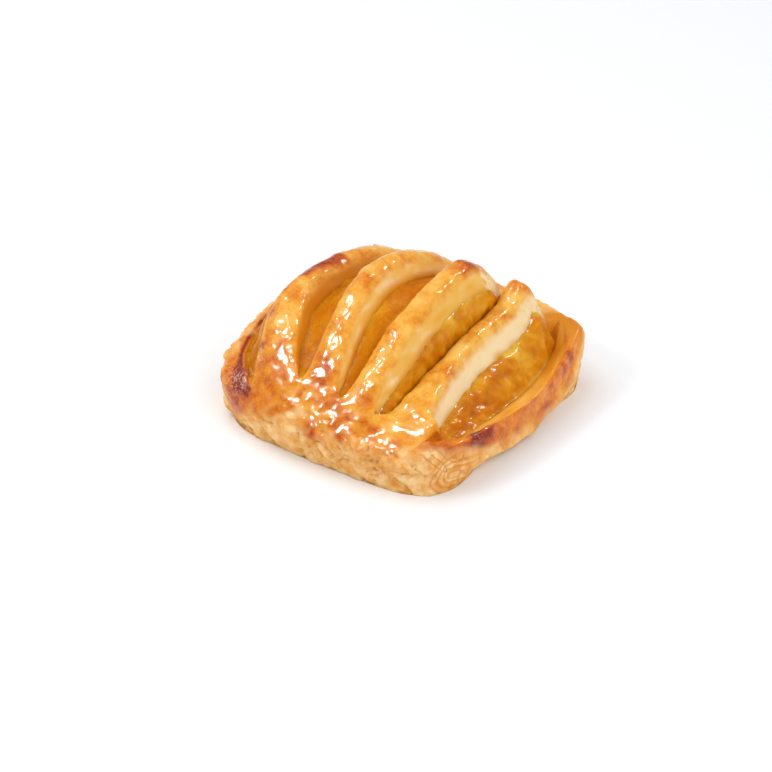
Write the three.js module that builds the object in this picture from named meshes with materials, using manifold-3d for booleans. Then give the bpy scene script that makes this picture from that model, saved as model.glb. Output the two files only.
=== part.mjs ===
// A small square lattice pastry: one piece of puff pastry, folded at the front and sealed on the
// other sides, whose slit top has opened into arched ribs over an apple filling.
// Millimetres, +Z up. X runs across the ribs, Y along them from the fold to the back seal, and
// Z = 0 is the surface that the pastry rests on.

import * as THREE from 'three';
import { mergeVertices } from 'three/addons/utils/BufferGeometryUtils.js';
import Module from 'manifold-3d';

const wasm = await Module();
wasm.setup();

// Plan: a square with bowed sides. A point of the top has the plan coordinates s (across the ribs)
// and t (along them), each from -1 to 1.
const HALF_X = 37.1;
const HALF_Y = 38.9;
const CORNER_X = 0.885; // the corners' share of the half sizes, before they are rounded
const CORNER_Y = 0.875;
const CORNER_PULL = 0.055; // how much rounding draws the corners in

// Heights of the top sheet's outer edge: at the corners, and at the middle of each side.
const EDGE_Z = {
  frontLeft: 13.5,
  front: 11.0,
  frontRight: 12.5,
  right: 3.8,
  backRight: 15.8,
  back: 15.3,
  backLeft: 15.5,
  left: 16.3,
};
const SIDE_POWER = 4; // how far the middle height reaches along the front and the back

// The slits, from left to right: the plan coordinates of their two edges at the middle, and how far
// they reach to the front and to the back. At the front they run to the plan coordinate tip. The
// power says how square a slit is in plan, the bend how late it turns to its tip, and the fades over
// which lengths its depth runs out at the front and at the back.
const SLITS = [
  {
    left: -0.9, right: -0.71, tip: -0.61, front: -0.975, back: 0.7,
    power: 5, bend: 5, fades: [0.3, 0.04],
  },
  {
    left: -0.565, right: -0.25, tip: -0.22, front: -0.84, back: 0.84,
    power: 2.1, bend: 2, fades: [0.14, 0.04],
  },
  {
    left: -0.1, right: 0.165, tip: 0.125, front: -0.835, back: 0.845,
    power: 1.6, bend: 2, fades: [0.08, 0.04],
  },
  {
    left: 0.325, right: 0.445, tip: 0.4, front: -0.82, back: 0.85,
    power: 2.1, bend: 2, fades: [0.08, 0.1],
  },
  {
    left: 0.565, right: 0.965, tip: 0.8, front: -0.7, back: 0.9,
    power: 2.1, bend: 2, fades: [0.1, 0.22],
  },
];
const SHOULDER = { front: -0.88, frontStart: -0.66, backStart: 0.74, back: 0.9 }; // where the ribs merge
const LENS_BLUNTNESS = 0.5; // below 1, the ends of the slits are round

// The ribs between them: the height of the crest, where along the rib it lies, where its back comes
// down to the edge's height, how square the arch is towards the front and towards the back, the
// height of a hump near its back end, and the cut face on its right: how far it runs out into the
// slit, and how far it drops.
const RIBS = [
  { crest: 30.6, peak: -0.25, end: 1, front: 2.3, back: 2.5, hump: 0, face: { run: 2.6, drop: 3.6 } },
  { crest: 36.7, peak: -0.1, end: 0.92, front: 1.8, back: 2.2, hump: 0, face: { run: 3.1, drop: 4.2 } },
  { crest: 35.7, peak: 0.27, end: 0.74, front: 2.25, back: 2.2, hump: 0, face: { run: 2.7, drop: 5.6 } },
  { crest: 24.3, peak: 0.55, end: 0.8, front: 2.2, back: 2.1, hump: 4.8, face: { run: 3.6, drop: 6.5 } },
];
const HUMP_PLACE = 0.62;
const HUMP_SPREAD = 0.12;
const END_CREST = { left: 18.0, right: 11.4 }; // inner edge of the two sealed ends
const END_ARCH = { peak: 0, end: 1, front: 2, back: 2, hump: 0 };
const RIB_ROUNDING = 1.1; // how far a rib's edges lie below its crest
const SHOULDER_ROUNDING = 0.3; // the same past the ends of the slits

// The other cut faces: on the left end's right, on each rib's left, and the shelf inside the right
// end's rim. Below the faces the slits are cut on into the hollow.
const END_FACE = { run: 2.0, drop: 1.8 };
const LEFT_FACE = { run: 0.9, drop: 3.6 };
const RIM_SHELF = { run: 4.5, drop: 1.2 };
const TRENCH_DROP = 9.5;
const TRENCH_RUN = 0.15; // how much narrower the trench is than the feet of its faces
const TRENCH_LOWEST_Z = 4.2;

// The wall below the edge: its bulge, how far its foot lies inside the edge on the sides that face
// so, the slanting flakes on it, and the seam between the two sheets at the right end.
const WALL_BULGE = 1.2;
const BULGE_SKEW = 0.55; // below 1, the bulge is fullest above the middle
const BULGE_FULL_Z = 14.0; // lower edges have less bulge
const BASE_TUCKS = [
  { depth: 2.0, facing: new THREE.Vector3(0, -1, 0), from: 0.75, to: 1 },
  { depth: 3.0, facing: new THREE.Vector3(-1, 0, 0), from: 0.5, to: 0.9 },
  { depth: 5.5, facing: new THREE.Vector3(1, 0, 0), from: 0.8, to: 1 },
];
const FLAKE_DEPTH = 0.35;
const FLAKE_PITCH = 11.0;
const FLAKE_SLANT = 0.9;
const FINE_FLAKE = { depth: 0.2, pitch: 6.5, slant: -0.6 };
const SEAM_DEPTH = 0.5;
const SEAM_PLACE = 0.4; // share of the way down
const SEAM_WIDTH = 0.12;
const SEAM_FACING = [0.3, 0.8]; // it starts where the wall turns to the right, and is full past it

// The hollow and the filling in it.
const WALL_THICKNESS = 4.0;
const FLOOR_THICKNESS = 3.0;
const END_ROOF = 5.2; // thickness of the two ends above it
const FACE_ROOF = 0.5; // how far it lies below the feet of the cut faces
const FILLING_GAP = 0.35;
const FILLING_LEAST = 1.0; // its least thickness
const STEP_HALF = 0.025; // least half width, in plan, of the step from one rib's height to the next
const LUMP_HEIGHT = 0.45; // of the apple pieces
const LUMP_PITCH = 9.0;
const LUMP_SLANTS = [0.4, -0.3];

// Mesh fineness.
const RIB_COLUMNS = [-1, -0.75, -0.3, 0.3, 0.75, 1];
const TOP_ROWS = 32;
const WALL_ROWS = 8;
const SLIT_SHARES = [0, 0.35, 0.65, 1];
const MOUND_ROWS = 24;
const MOUND_WALL_ROWS = 2;
const WELD_DISTANCE = 1e-4;

const mix = THREE.MathUtils.lerp;
const clamp = THREE.MathUtils.clamp;
const smoothstep = THREE.MathUtils.smoothstep;

// Plan coordinates to millimetres.
function plan(s, t) {
  const pull = 1 - CORNER_PULL * (s * t) ** 4;
  const x = HALF_X * s * Math.sqrt(1 - (1 - CORNER_X ** 2) * t * t) * pull;
  const y = HALF_Y * t * Math.sqrt(1 - (1 - CORNER_Y ** 2) * s * s) * pull;
  return new THREE.Vector2(x, y);
}

// How far a slit is open at t, as a share of its full width.
function slitOpening(slit, t) {
  const middle = (slit.front + slit.back) / 2;
  const reach = (slit.back - slit.front) / 2;
  const away = Math.min(1, Math.abs(t - middle) / reach);
  return Math.pow(1 - Math.pow(away, slit.power), LENS_BLUNTNESS);
}

// Plan coordinate of a slit's middle line at t.
function slitMiddle(slit, t) {
  const towardsTip = clamp(t / slit.front, 0, 1) ** slit.bend;
  return mix((slit.left + slit.right) / 2, slit.tip, towardsTip);
}

// Plan coordinate of a slit's left (side -1) or right (side 1) edge at t.
function slitEdge(slit, side, t) {
  return slitMiddle(slit, t) + side * slitOpening(slit, t) * (slit.right - slit.left) / 2;
}

// 1 along a slit, 0 past its ends.
function slitDepth(slit, t) {
  const [frontFade, backFade] = slit.fades;
  const front = smoothstep(t, slit.front, slit.front + frontFade);
  const back = 1 - smoothstep(t, slit.back - backFade, slit.back);
  return front * back;
}

// Height of the outer edge along the front or the back, at s.
function sideEdge(s, isBack) {
  const [left, middle, right] = isBack
    ? [EDGE_Z.backLeft, EDGE_Z.back, EDGE_Z.backRight]
    : [EDGE_Z.frontLeft, EDGE_Z.front, EDGE_Z.frontRight];
  return mix(middle, s < 0 ? left : right, Math.pow(Math.abs(s), SIDE_POWER));
}

// Height of the outer edge along the left or the right end, at t.
function endEdge(t, isRight) {
  const [front, middle, back] = isRight
    ? [EDGE_Z.frontRight, EDGE_Z.right, EDGE_Z.backRight]
    : [EDGE_Z.frontLeft, EDGE_Z.left, EDGE_Z.backLeft];
  return mix(middle, t < 0 ? front : back, t * t);
}

// Height of an arch at s and t that springs from the edges at the front and the back.
function arch({ crest, peak, end, front, back, hump }, s, t) {
  const isBack = t > peak;
  const away = isBack ? Math.min(1, (t - peak) / (end - peak)) : (peak - t) / (1 + peak);
  const foot = sideEdge(s, isBack);
  const bump = hump * Math.exp(-(((t - HUMP_PLACE) / HUMP_SPREAD) ** 2));
  return foot + (crest - foot) * (1 - Math.pow(away, isBack ? back : front)) + bump;
}

// Crest of band number b at s and t: band 0 is the left end, then the ribs, then the right end.
function bandCrest(band, s, t) {
  if (band > 0 && band <= RIBS.length) {
    return arch(RIBS[band - 1], s, t);
  }
  const isRight = band > 0;
  const crest = isRight ? END_CREST.right : END_CREST.left;
  const inner = isRight ? SLITS[RIBS.length].right : -SLITS[0].left;
  const out = clamp((Math.abs(s) - inner) / (1 - inner), 0, 1);
  const top = arch({ crest, ...END_ARCH }, s, t);
  return mix(top, endEdge(t, isRight), out * out);
}

// Plan coordinate of a band's middle line at t, and the outer edge for the two ends.
function bandMiddle(band, t) {
  if (band === 0 || band > RIBS.length) {
    return band === 0 ? -1 : 1;
  }
  return (slitMiddle(SLITS[band - 1], t) + slitMiddle(SLITS[band], t)) / 2;
}

// Smooth sheet over the crests of all the bands.
function crown(s, t) {
  let band = 0;
  while (band < RIBS.length && bandMiddle(band + 1, t) < s) {
    band++;
  }
  const share = smoothstep(s, bandMiddle(band, t), bandMiddle(band + 1, t));
  return mix(bandCrest(band, s, t), bandCrest(band + 1, s, t), share);
}

// Top of a band, which merges with its neighbours past the ends of the slits.
function bandTop(band, s, t) {
  const merged = t < 0
    ? 1 - smoothstep(t, SHOULDER.front, SHOULDER.frontStart)
    : smoothstep(t, SHOULDER.backStart, SHOULDER.back);
  return mix(bandCrest(band, s, t), crown(s, t), merged);
}

// Columns of the top sheet: for each, its band, its place q across the band from -1 to 1, and its
// level: 0 on the crest, 1 at the foot of a cut face, 2 at the bottom of a trench.
function topColumns() {
  const columns = [];
  for (let band = 0; band <= RIBS.length + 1; band++) {
    if (band > 0) {
      columns.push({ band, q: -1, level: 2 }, { band, q: -1, level: 1 });
    }
    for (const q of RIB_COLUMNS) {
      columns.push({ band, q, level: 0 });
    }
    if (band <= RIBS.length) {
      columns.push({ band, q: 1, level: 1 }, { band, q: 1, level: 2 });
    }
  }
  return columns;
}

// The cut face at the side q of a band.
function cutFace(band, q) {
  if (q > 0) {
    return band === 0 ? END_FACE : RIBS[band - 1].face;
  }
  return band > RIBS.length ? RIM_SHELF : LEFT_FACE;
}

// A point of the top sheet.
function topPoint({ band, q, level }, t) {
  const before = SLITS[band - 1];
  const after = SLITS[band];
  const left = before ? slitEdge(before, 1, t) : -1;
  const right = after ? slitEdge(after, -1, t) : 1;
  const s = mix(left, right, (q + 1) / 2);
  const { x, y } = plan(s, t);
  const point = new THREE.Vector3(x, y, bandTop(band, s, t));
  const slit = q < 0 ? before : after;
  if (slit) {
    point.z -= mix(SHOULDER_ROUNDING, RIB_ROUNDING, slitDepth(slit, t)) * Math.pow(Math.abs(q), 3);
  }
  if (level > 0) {
    const face = cutFace(band, q);
    const run = face.run + (level - 1) * TRENCH_RUN;
    const drop = level === 1 ? face.drop : TRENCH_DROP;
    const lowest = Math.min(point.z, TRENCH_LOWEST_Z);
    point.x += Math.sign(q) * run * slitOpening(slit, t);
    point.z = Math.max(lowest, point.z - drop * slitDepth(slit, t));
  }
  return point;
}

// The same, with both sides of a slit on one line past its ends.
function joinedPoint(column, t) {
  const { band, q } = column;
  const leftBand = q < 0 ? band - 1 : band;
  const slit = SLITS[leftBand];
  const isClosed = Math.abs(q) === 1 && slit && slitOpening(slit, t) === 0;
  return topPoint(isClosed ? { band: leftBand, q: 1, level: 0 } : column, t);
}

// Relief of the flakes on the wall at height z: slanting folds, none at the edge and the foot.
function flakes(x, y, z, down) {
  const turn = 2 * Math.PI;
  const along = x + y;
  const folds = FLAKE_DEPTH * Math.sin(turn * (along + FLAKE_SLANT * z) / FLAKE_PITCH);
  const fine = FINE_FLAKE.depth * Math.sin(turn * (along + FINE_FLAKE.slant * z) / FINE_FLAKE.pitch);
  return (folds + fine) * Math.sin(Math.PI * down);
}

// A point of the wall, a share down of the way from the edge to the foot.
function wallPoint(edge, down) {
  const out = new THREE.Vector3(edge.x / HALF_X ** 2, edge.y / HALF_Y ** 2, 0).normalize();
  const z = edge.z * (1 - down);
  const tuck = BASE_TUCKS.reduce(
    (sum, { depth, facing, from, to }) => sum + depth * smoothstep(out.dot(facing), from, to),
    0,
  );
  const fullness = Math.min(1, edge.z / BULGE_FULL_Z);
  const bulge = WALL_BULGE * fullness * Math.sin(Math.PI * Math.pow(down, BULGE_SKEW)) - tuck * down ** 3;
  const groove = SEAM_DEPTH * Math.exp(-(((down - SEAM_PLACE) / SEAM_WIDTH) ** 2));
  const seam = groove * smoothstep(out.x, ...SEAM_FACING);
  const offset = bulge - seam + flakes(edge.x, edge.y, z, down);
  return new THREE.Vector3(edge.x, edge.y, z).addScaledVector(out, offset);
}

// A closed solid from a grid of top points: the grid, a wall from its edge down, and a flat foot.
function loaf(grid, wall, wallRows) {
  const columns = grid.length;
  const rows = grid[0].length;
  const points = grid.flat();
  const triangles = [];
  const quad = (a, b, c, d) => triangles.push(a, b, c, a, c, d);
  const at = (i, j) => i * rows + j;
  for (let i = 0; i + 1 < columns; i++) {
    for (let j = 0; j + 1 < rows; j++) {
      quad(at(i, j), at(i + 1, j), at(i + 1, j + 1), at(i, j + 1));
    }
  }
  const ring = [];
  for (let i = 0; i + 1 < columns; i++) {
    ring.push(at(i, 0));
  }
  for (let j = 0; j + 1 < rows; j++) {
    ring.push(at(columns - 1, j));
  }
  for (let i = columns - 1; i > 0; i--) {
    ring.push(at(i, rows - 1));
  }
  for (let j = rows - 1; j > 0; j--) {
    ring.push(at(0, j));
  }
  let upper = ring;
  for (let k = 1; k <= wallRows; k++) {
    const lower = ring.map((index) => points.push(wall(points[index], k / wallRows)) - 1);
    upper.forEach((index, n) => {
      const next = (n + 1) % ring.length;
      quad(lower[n], lower[next], upper[next], index);
    });
    upper = lower;
  }
  const foot = points.push(new THREE.Vector3(0, 0, points[upper[0]].z)) - 1;
  upper.forEach((index, n) => triangles.push(index, foot, upper[(n + 1) % ring.length]));
  const geometry = new THREE.BufferGeometry().setFromPoints(points);
  geometry.setIndex(triangles);
  return geometry;
}

// A geometry as a solid, without the triangles that its welded points leave empty.
function solidOf(geometry) {
  const merged = mergeVertices(geometry, WELD_DISTANCE);
  const index = merged.index.array;
  const triangles = [];
  for (let n = 0; n < index.length; n += 3) {
    const [a, b, c] = index.slice(n, n + 3);
    if (a !== b && b !== c && c !== a) {
      triangles.push(a, b, c);
    }
  }
  return new wasm.Manifold(new wasm.Mesh({
    numProp: 3,
    vertProperties: merged.attributes.position.array,
    triVerts: new Uint32Array(triangles),
  }));
}

function geometryOf(solid) {
  const mesh = solid.getMesh();
  const geometry = new THREE.BufferGeometry();
  geometry.setAttribute('position', new THREE.BufferAttribute(mesh.vertProperties, 3));
  geometry.setIndex(new THREE.BufferAttribute(mesh.triVerts, 1));
  geometry.computeVertexNormals();
  return geometry;
}

// Places along the ribs, closer together towards their feet.
function rowPlaces(count) {
  return Array.from({ length: count + 1 }, (_, j) => Math.sin((j / count - 0.5) * Math.PI));
}

function pastryOutside() {
  const places = rowPlaces(TOP_ROWS);
  const grid = topColumns().map((column) => places.map((t) => joinedPoint(column, t)));
  return loaf(grid, wallPoint, WALL_ROWS);
}

// Rise of the apple pieces in the filling.
function lumps(x, y) {
  const wave = (2 * Math.PI) / LUMP_PITCH;
  const [slantX, slantY] = LUMP_SLANTS;
  return LUMP_HEIGHT * Math.sin(wave * (x + slantX * y)) * Math.sin(wave * (y + slantY * x));
}

// The filling's mound, smaller by inset all round: across each slit it goes from below the foot of
// one cut face to below that of the other.
function mound(inset) {
  const reachX = 1 - (WALL_THICKNESS + inset) / HALF_X;
  const reachY = 1 - (WALL_THICKNESS + inset) / HALF_Y;
  const floor = FLOOR_THICKNESS + inset;
  const top = (s, t, z) => {
    const { x, y } = plan(s, t);
    const height = z - inset + lumps(x, y);
    return new THREE.Vector3(x, y, Math.max(height, floor + FILLING_LEAST));
  };
  const rows = rowPlaces(MOUND_ROWS).map((v) => v * reachY);
  const endColumn = (band, s) => rows.map((t) => top(s, t, bandTop(band, s, t) - END_ROOF));
  const belowFace = (band, q, s, t) => {
    const foot = bandTop(band, s, t) - RIB_ROUNDING - cutFace(band, q).drop;
    return foot - FACE_ROOF;
  };
  const grid = [endColumn(0, -reachX)];
  SLITS.forEach((slit, n) => {
    for (const share of SLIT_SHARES) {
      grid.push(rows.map((t) => {
        const run = slitOpening(slit, t) / HALF_X;
        const left = slitEdge(slit, -1, t) + cutFace(n, 1).run * run;
        const right = slitEdge(slit, 1, t) - cutFace(n + 1, -1).run * run;
        const half = Math.max((right - left) / 2, STEP_HALF);
        const s = (left + right) / 2 + mix(-half, half, share);
        const blend = smoothstep(share, 0, 1);
        return top(s, t, mix(belowFace(n, 1, s, t), belowFace(n + 1, -1, s, t), blend));
      }));
    }
  });
  grid.push(endColumn(RIBS.length + 1, reachX));
  const wall = (edge, down) => new THREE.Vector3(edge.x, edge.y, mix(edge.z, floor, down));
  return loaf(grid, wall, MOUND_WALL_ROWS);
}

const crust = solidOf(pastryOutside()).subtract(solidOf(mound(0)));

const crustMaterial = new THREE.MeshStandardMaterial({ color: 0xd9923f, roughness: 0.45, metalness: 0 });
const fillingMaterial = new THREE.MeshStandardMaterial({ color: 0xd98a1c, roughness: 0.25, metalness: 0 });

const pastry = new THREE.Mesh(geometryOf(crust), crustMaterial);
pastry.name = 'pastry';
const filling = new THREE.Mesh(mound(FILLING_GAP), fillingMaterial);
filling.name = 'apple_filling';

// The origin is below the middle of the whole.
const box = new THREE.Box3().setFromObject(pastry);
const middle = box.getCenter(new THREE.Vector3());
const group = new THREE.Group();
for (const mesh of [pastry, filling]) {
  mesh.position.set(-middle.x, -middle.y, -box.min.z);
  group.add(mesh);
}
export default group;
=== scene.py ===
import math

import bpy
import numpy as np
from mathutils import Matrix, Vector, noise


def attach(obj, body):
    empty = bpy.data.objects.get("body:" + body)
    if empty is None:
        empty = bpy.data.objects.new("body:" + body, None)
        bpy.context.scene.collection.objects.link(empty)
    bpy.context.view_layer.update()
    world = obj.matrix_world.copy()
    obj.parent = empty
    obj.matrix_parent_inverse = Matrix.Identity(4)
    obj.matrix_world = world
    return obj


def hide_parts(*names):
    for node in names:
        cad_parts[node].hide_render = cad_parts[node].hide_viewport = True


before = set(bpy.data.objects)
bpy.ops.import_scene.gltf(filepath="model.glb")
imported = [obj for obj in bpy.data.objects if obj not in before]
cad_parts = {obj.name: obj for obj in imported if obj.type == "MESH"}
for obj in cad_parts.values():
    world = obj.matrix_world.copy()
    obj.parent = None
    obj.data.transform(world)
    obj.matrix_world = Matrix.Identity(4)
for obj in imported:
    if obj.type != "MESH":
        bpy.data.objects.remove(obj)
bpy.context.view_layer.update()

# The looks of a small lattice pastry: glazed ribs, pale cut faces, a flaky wall and an apple filling.
# Shapes are worked out in millimetres and become metres when a mesh is made.
MM = 0.001
PLAN_MIDDLE = np.array([0.52, -0.13, 0])  # in the frame, whose origin is below the middle of the whole

# Plan and heights of the solids. A point of the top has the plan coordinates s (across the ribs)
# and t (along them), each from -1 to 1.
HALF_X = 37.1
HALF_Y = 38.9
CORNER_X = 0.885  # the corners' share of the half sizes, before they are rounded
CORNER_Y = 0.875
CORNER_PULL = 0.055  # how much rounding draws the corners in
EDGE_FRONT = {"left": 13.5, "middle": 11.0, "right": 12.5}
EDGE_BACK = {"left": 15.5, "middle": 15.3, "right": 15.8}
EDGE_LEFT_MIDDLE = 16.3
EDGE_RIGHT_MIDDLE = 3.8
SIDE_POWER = 4

# The slits, from left to right: their two edges at the middle, the place of their front tip, and how
# far they reach to the front and to the back. The power says how square a slit is in plan, the bend
# how late it turns to its tip, and the fades over which lengths its depth runs out at the two ends.
SLITS = [
    dict(
        left=-0.9, right=-0.71, tip=-0.61, front=-0.975, back=0.7,
        power=5, bend=5, fades=(0.3, 0.04),
    ),
    dict(
        left=-0.565, right=-0.25, tip=-0.22, front=-0.84, back=0.84,
        power=2.1, bend=2, fades=(0.14, 0.04),
    ),
    dict(
        left=-0.1, right=0.165, tip=0.125, front=-0.835, back=0.845,
        power=1.6, bend=2, fades=(0.08, 0.04),
    ),
    dict(
        left=0.325, right=0.445, tip=0.4, front=-0.82, back=0.85,
        power=2.1, bend=2, fades=(0.08, 0.1),
    ),
    dict(
        left=0.565, right=0.965, tip=0.8, front=-0.7, back=0.9,
        power=2.1, bend=2, fades=(0.1, 0.22),
    ),
]
SHOULDER = {"front": -0.88, "front_start": -0.66, "back_start": 0.74, "back": 0.9}
LENS_BLUNTNESS = 0.5

# The ribs between the slits, and the two sealed ends. Each cut face has its run out into the slit and
# its drop: on the right of the left end and of each rib, on the left of the ribs, and inside the rim.
RIBS = [
    dict(crest=30.6, peak=-0.25, end=1.0, front=2.3, back=2.5, hump=0),
    dict(crest=36.7, peak=-0.1, end=0.92, front=1.8, back=2.2, hump=0),
    dict(crest=35.7, peak=0.27, end=0.74, front=2.25, back=2.2, hump=0),
    dict(crest=24.3, peak=0.55, end=0.8, front=2.2, back=2.1, hump=4.8),
]
HUMP_PLACE = 0.62
HUMP_SPREAD = 0.12
LEFT_END = dict(crest=18.0, peak=0, end=1, front=2, back=2, hump=0)
RIGHT_END = dict(crest=11.4, peak=0, end=1, front=2, back=2, hump=0)
RIGHT_FACES = [(2.0, 1.8), (2.6, 3.6), (3.1, 4.2), (2.7, 5.6), (3.6, 6.5)]
LEFT_FACE = (0.9, 3.6)
RIM_SHELF = (4.5, 1.2)
LAST_BAND = len(RIBS) + 1
RIB_ROUNDING = 1.1
SHOULDER_ROUNDING = 0.3

# The trenches below the cut faces, the wall and the hollow.
TRENCH_DROP = 9.5
TRENCH_RUN = 0.15
TRENCH_LOWEST = 4.2
WALL_BULGE = 1.2
BULGE_SKEW = 0.55
BULGE_FULL_Z = 14.0  # lower edges have less bulge
BASE_TUCK = {"front": 2.0, "left": 3.0, "right": 5.5}  # how far the foot lies inside the edge
TUCK_FACING = {"front": (0.75, 1.0), "left": (0.5, 0.9), "right": (0.8, 1.0)}  # of the wall
WALL_THICKNESS = 4.0
FLOOR_THICKNESS = 3.0
END_ROOF = 5.2  # thickness of the two ends above the hollow
FACE_ROOF = 0.5  # how far the hollow lies below the feet of the cut faces
FILLING_GAP = 0.35
FILLING_LEAST = 1.0
STEP_HALF = 0.025  # least half width, in plan, of the filling's step from one rib to the next

# Relief of the crust: each bump's pitch and its height, along the surface's normal.
CREST_BUMPS = {9.0: 0.3, 4.0: 0.35, 2.2: 0.2, 1.2: 0.07}
FACE_BUMPS = {6.0: 0.35, 2.0: 0.08}
WALL_BUMPS = {7.0: 0.8, 1.2: 0.18}
TORN_BUMPS = {2.0: 0.9, 1.1: 0.8}
EDGE_ROUNDING = 4.5  # how far from the edge the top and the wall are rounded
RIB_EDGE_ACROSS = (0.3, 1)  # where across a rib the rounding of its edges starts and is full
RIB_EDGE_DOWN = (0.4, 0.9)  # and where down a cut face it starts to end and has ended
RIGHT_PART = (0.6, 0.8)  # where across the half size the right end starts, and where it is full

# The wall's slanting puffs of dough, and the creases between them, darkened with painted shade.
WALL_PUFFS = {5.0: 1.6, 2.4: 0.6}
PUFF_MEAN = 0.22  # of the noise that makes them
RIGHT_SMOOTHNESS = 0.7  # how much lower they are at the right end
PUFF_FLATTENING = 1.4
PUFF_SLANT = 0.9
CREASE_DEPTH = 0.4
CREASE_WIDTH = 0.06
CREASE_PATCH_PITCH = 6  # the creases show only in patches
CREASE_PATCH_FADE = 0.15
# how much painted shade darkens the creases
CREASE_SHADE_DARKNESS = 0.8
FOOT_SHARE = 0.02  # least share of the wall below a point, for its depth below the edge

# Where the glaze ends: its ragged border runs along the edge.
GLAZE_STEP = 0.12
GLAZE_REACH = -0.3  # how far the glaze runs down over the edge
GLAZE_BORDER = {6.0: 3.5, 2.0: 2.0}
GLAZE_FADE = 1.8
RIM_REACH = (-1.5, 1.5)  # the same reach at the right end, at its front and its back
RIM_CHANGE = (-0.2, 0.5)  # where along it the one changes to the other
LEFT_GLAZE = -2.0  # added to the distance from the left end, where the pale edge reaches further in
GLAZED_CORNER = {"middle": np.array([-25.0, -35.5, 11.0]), "radius": 9.0, "reach": 11.0}

# The folded layers that show at the front right corner, as lines around an axis: carved in, with painted
# shade.
FOLD_START = np.array([33.6, -27.5, 4.4])
FOLD_END = np.array([37.0, -11.0, 2.2])
FOLD_PITCH = 1.5
FOLD_REACH = 7.5
FOLD_FADE = 2
FOLD_FROM_X = (27, 31)
FOLD_ALONG = (0.1, 0.7)  # where along the axis they start to end and have ended
FOLD_WOBBLE = {5.0: 0.6, 2.0: 0.3}
FOLD_DEPTH = 0.25
# how much painted shade darkens the fold lines
FOLD_SHADE_DARKNESS = 0.5

# How brown the crest is. Each spot of the crust has a band, q, t, a radius and a strength.
BROWNING_MEAN = 0.3
BROWNING_BUMPS = {6.0: 0.32, 2.5: 0.24, 1.2: 0.14}
RIM_CONTRAST = 0.6  # share of these bumps at the right end
BAND_BROWNING = [0.05, 0, -0.05, -0.02, -0.08, 0.27]
FRONT_BROWNING = 0.23
FRONT_FADE = (-0.92, -0.65)
STRIPE = {"across": (0.65, 0.35), "fades": (-0.3, 0.3), "strength": 0.6}  # brown, along the left end
STRIPE_WANDER = {5.0: 0.5}
SPOT_WARP = 1.5
SPOT_WARP_PITCH = 3
WARP_SHIFTS = (0, 50, 100)  # which make three noises out of one
BROWN_SPOTS = [
    (1, -0.6, -0.2, 2.5, 0.4),
    (1, -0.4, -0.05, 3.2, 0.5),
    (1, -0.2, 0.1, 3.2, 0.45),
    (1, 0.4, 0.3, 4.0, 0.2),
    (1, 0.6, 0.05, 4.0, 0.2),
    (1, 0.6, -0.2, 4.0, 0.2),
    (1, 0.6, -0.45, 3.0, 0.1),
    (1, 0.2, -0.45, 2.0, 0.15),
    (1, -0.95, -0.42, 1.8, 0.4),
    (1, -0.95, -0.6, 1.8, 0.5),
    (1, -0.95, -0.77, 1.8, 0.5),
    (2, 0.77, 0.44, 3.5, 0.2),
    (2, 0, -0.75, 3.0, 0.2),
    (3, 0.2, 0.27, 3.0, 0.3),
    (3, 0.6, 0.38, 3.0, 0.4),
    (3, -0.2, -0.1, 2.0, 0.15),
    (4, -0.5, 0.6, 2.6, 0.3),
    (4, 0.6, 0.6, 2.4, 0.35),
    (4, 0, 0, 2.5, 0.12),
    (0, 0.4, -0.97, 6.0, 0.42),
    (5, 0.65, -0.57, 2.6, 0.85),
    (5, 0.5, -0.43, 2.2, 0.4),
    (5, 0.77, 0.68, 1.6, 0.3),
    (5, -0.5, 0.86, 2.0, 0.2),
    (5, 0.77, 0.25, 1.7, 0.35),
    (5, 0.5, 0.39, 1.6, 0.25),
    (5, 0.87, 0.46, 2.2, -0.3),
]
FROST_AND_GLINT_SPOTS = [  # where the glaze is frosted: finer relief, and white speckles painted in as glints
    (0, 0.3, -0.96, 4.5, 1),
    (1, -0.9, -0.6, 3.0, 1),
    (1, -0.9, -0.8, 3.0, 1),
    (5, 0.6, -0.55, 2.2, 0.4),
]

# The cut faces: pale with fibres, torn at the far ends of two ribs, and soaked by the filling.
FACE_CLIMBS = [0, -0.1, -0.1, -0.05, -0.15, 0.35]  # how far a face's look reaches up over its edge
FACE_EDGE_SLOPE = 0.8
FACE_EDGE_BUMPS = {2.0: 0.15}
FACE_FADE = 0.25
FACE_PALENESS = [0.1, 0.2, 0.68, 0.65, 1.12, 0.38]
FACE_GLOSS = 0.55
PALENESS_BUMPS = {4.0: 0.3}
FIBRE_CONTRAST = 0.18  # of the streaks along the cut faces
FIBRE_STRETCH = np.array([1, 0.25, 1])
FIBRE_PITCH = 1.6
TORN_ENDS = {3: (0.45, 0.07), 4: (0.6, 0.07)}  # for a rib, where along it, and the spread
TORN_DOWN = 0.9  # how far down a face is torn
# The torn ends are paler, partly as torn dough is and partly with mottling painted in as highlights.
TORN_PALENESS_AND_SHEEN = 0.4
TORN_GLINT_CONTRAST = 1.4
TORN_PITCH = 1.3
SOAK_STARTS = [0.65, 0.05, 0.55, 0.65, 0.65, 0.65]  # for each band, the depth where soaking starts
SOAK_FADE = 0.45
SOAK_BUMPS = {4.0: 0.15}
SOAKED_FROM = {4: 0.68, 5: 0.35}  # for a band, where all its face gets soaked towards the back
SOAKED_FADES = {"along": 0.12, "down": 0.3}
SOAKED_LEFT = {"across": (0.8, 1), "along": (-0.95, -0.75)}  # of the left end
SOAKED_SPOTS = [(4, 0.9, 0.87, 4.5, 1), (5, -1, 0.86, 5.5, 1)]

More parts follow.
